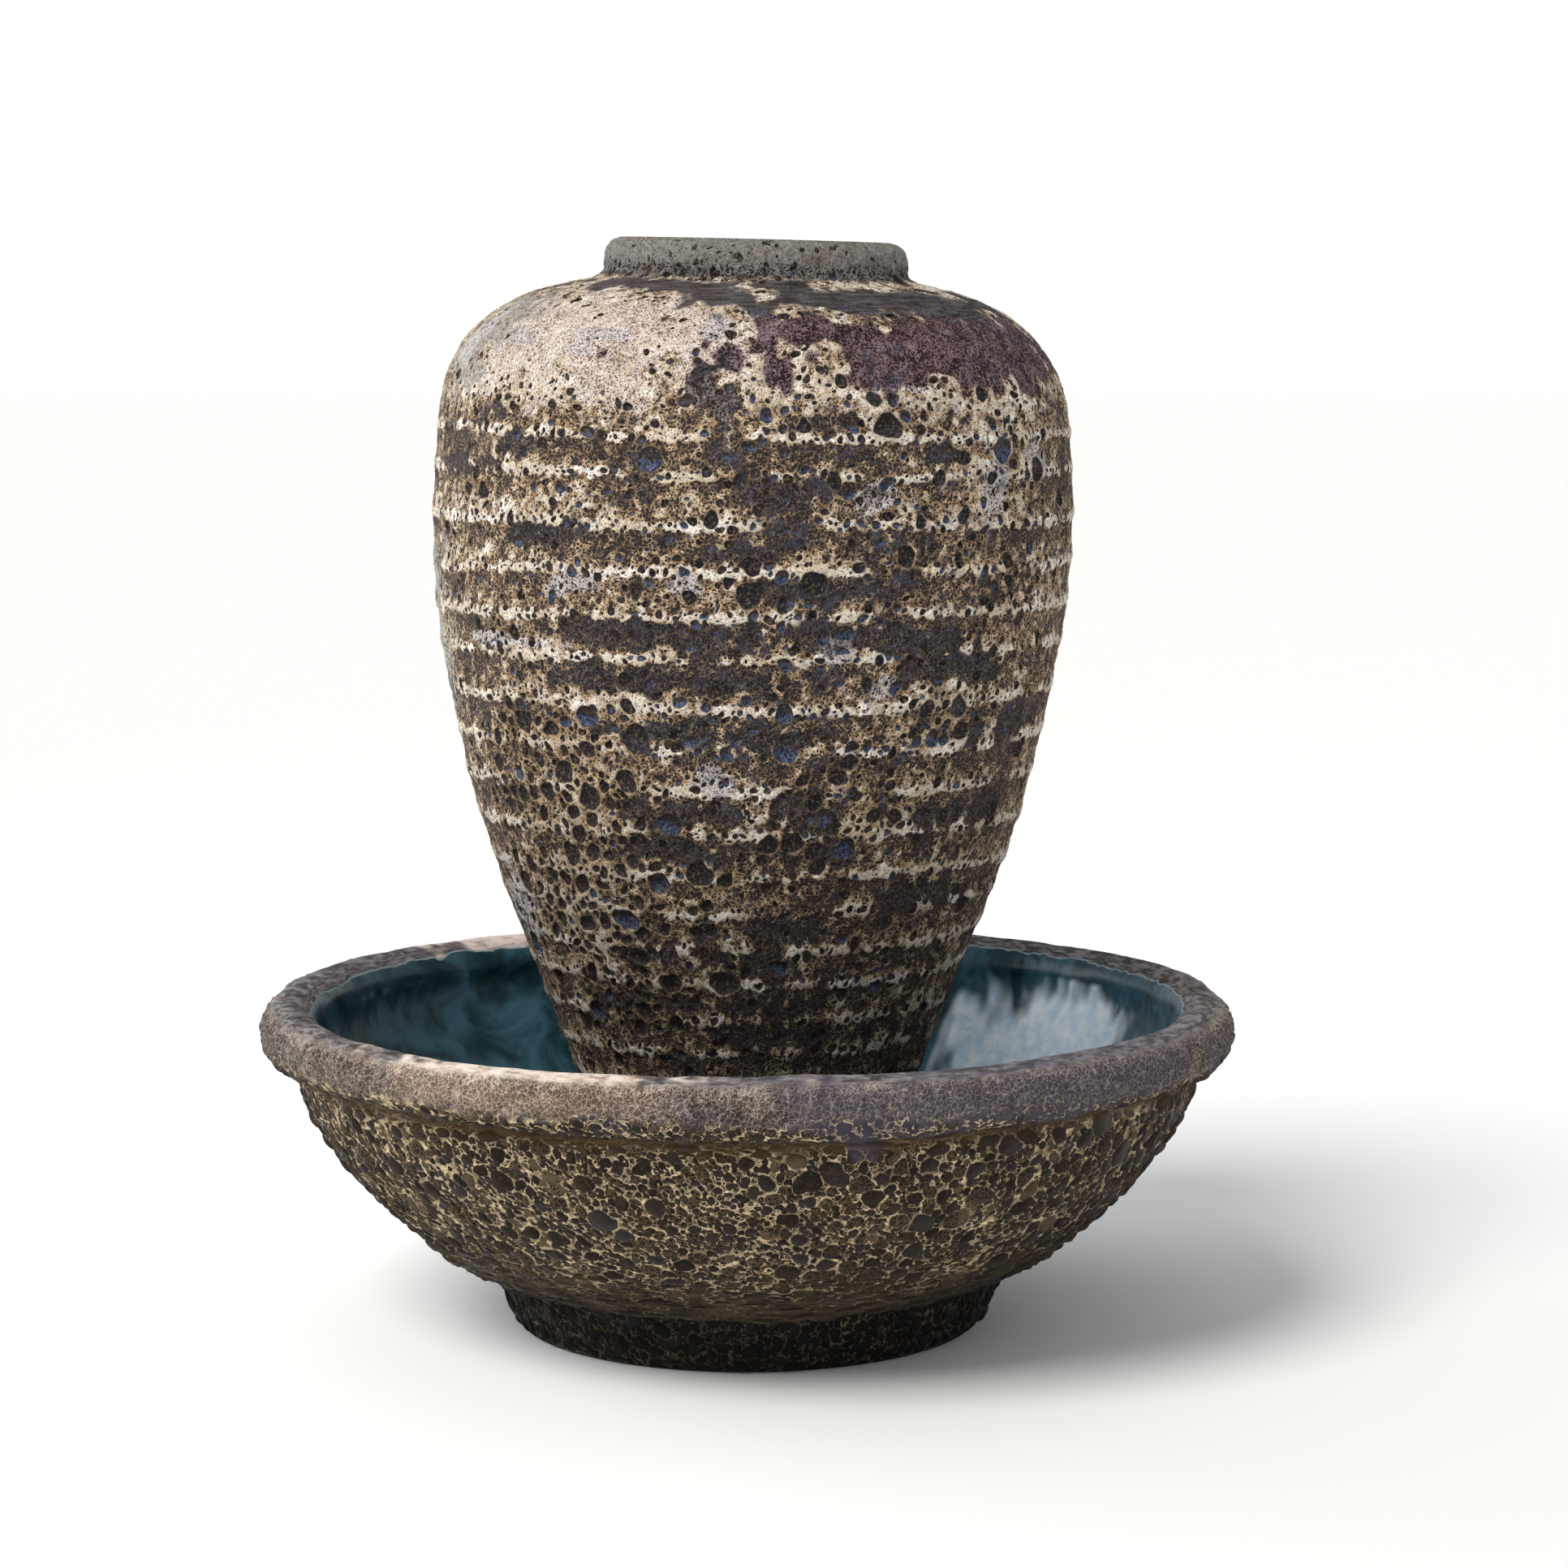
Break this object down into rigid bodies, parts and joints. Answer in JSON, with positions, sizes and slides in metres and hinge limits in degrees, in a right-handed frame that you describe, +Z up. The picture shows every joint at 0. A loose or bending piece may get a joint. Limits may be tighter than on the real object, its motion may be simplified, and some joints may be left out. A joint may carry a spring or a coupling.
{
  "type": "ceramic jar fountain",
  "caption": "Garden fountain: a tall ribbed jar stands over a pump in a wide bowl on a foot ring; water rises through the jar and runs down its ribs.",
  "frame": {"origin": "centre of the foot ring's underside, on the ground", "axes": "+Z up along the jar's axis; -Y is the side seen from the front; the lead's notch is at +Y"},
  "size_m": [0.8499, 0.85, 0.946],
  "materials": {
    "basin_glaze": "crater glaze outside, glossy turquoise glaze inside",
    "jar_glaze": "crater glaze, dark brown with pale ribs",
    "fired_clay": "matte",
    "black_rubber": "matte",
    "fitting_plastic": "moulded",
    "pipe_plastic": "extruded",
    "hose_vinyl": "soft gloss",
    "clamp_steel": "stainless",
    "pump_plastic": "moulded",
    "impeller_plastic": "moulded",
    "dial_plastic": "moulded",
    "ferrite": "sealed magnet",
    "shaft_ceramic": "polished"
  },
  "bodies": {
    "base": {"basin": "basin_glaze", "pedestal": "fired_clay", "pedestal_pads": "black_rubber", "seat_pads": "black_rubber", "delivery_hose": "hose_vinyl", "hose_clamps": "clamp_steel", "clamp_screws": "clamp_steel", "pump_housing": "pump_plastic", "suction_cups": "black_rubber", "cord_gland": "black_rubber", "chamber_seal": "black_rubber", "chamber_screws": "clamp_steel", "pump_chamber": "pump_plastic", "rotor_shaft": "shaft_ceramic", "front_bush": "black_rubber", "rear_bush": "black_rubber", "strainer_grille": "pump_plastic"},
    "jar_assembly": {"jar": "jar_glaze", "bulkhead_fitting": "fitting_plastic", "inner_gasket": "black_rubber", "outer_gasket": "black_rubber", "fitting_nut": "fitting_plastic", "riser_pipe": "pipe_plastic"},
    "rotor": {"rotor_magnet": "ferrite", "impeller": "impeller_plastic"},
    "dial": {"flow_dial": "dial_plastic"},
    "stopper": {"drain_stopper": "black_rubber"}
  },
  "joints": [
    {"name": "jar_lift", "type": "slide", "parent": "base", "child": "jar_assembly", "axis": [0, 0, 1], "range_m": [0, 0.15]},
    {"name": "impeller_spin", "type": "hinge", "parent": "base", "child": "rotor", "pos_m": [0, 0, 0.122], "axis": [0, -1, 0], "continuous": true},
    {"name": "flow_dial_turn", "type": "hinge", "parent": "base", "child": "dial", "pos_m": [0, -0.037, 0.122], "axis": [0, -1, 0], "range_deg": [0, 60]},
    {"name": "stopper_pull", "type": "slide", "parent": "base", "child": "stopper", "axis": [0, 0, 1], "range_m": [0, 0.045]}
  ]
}
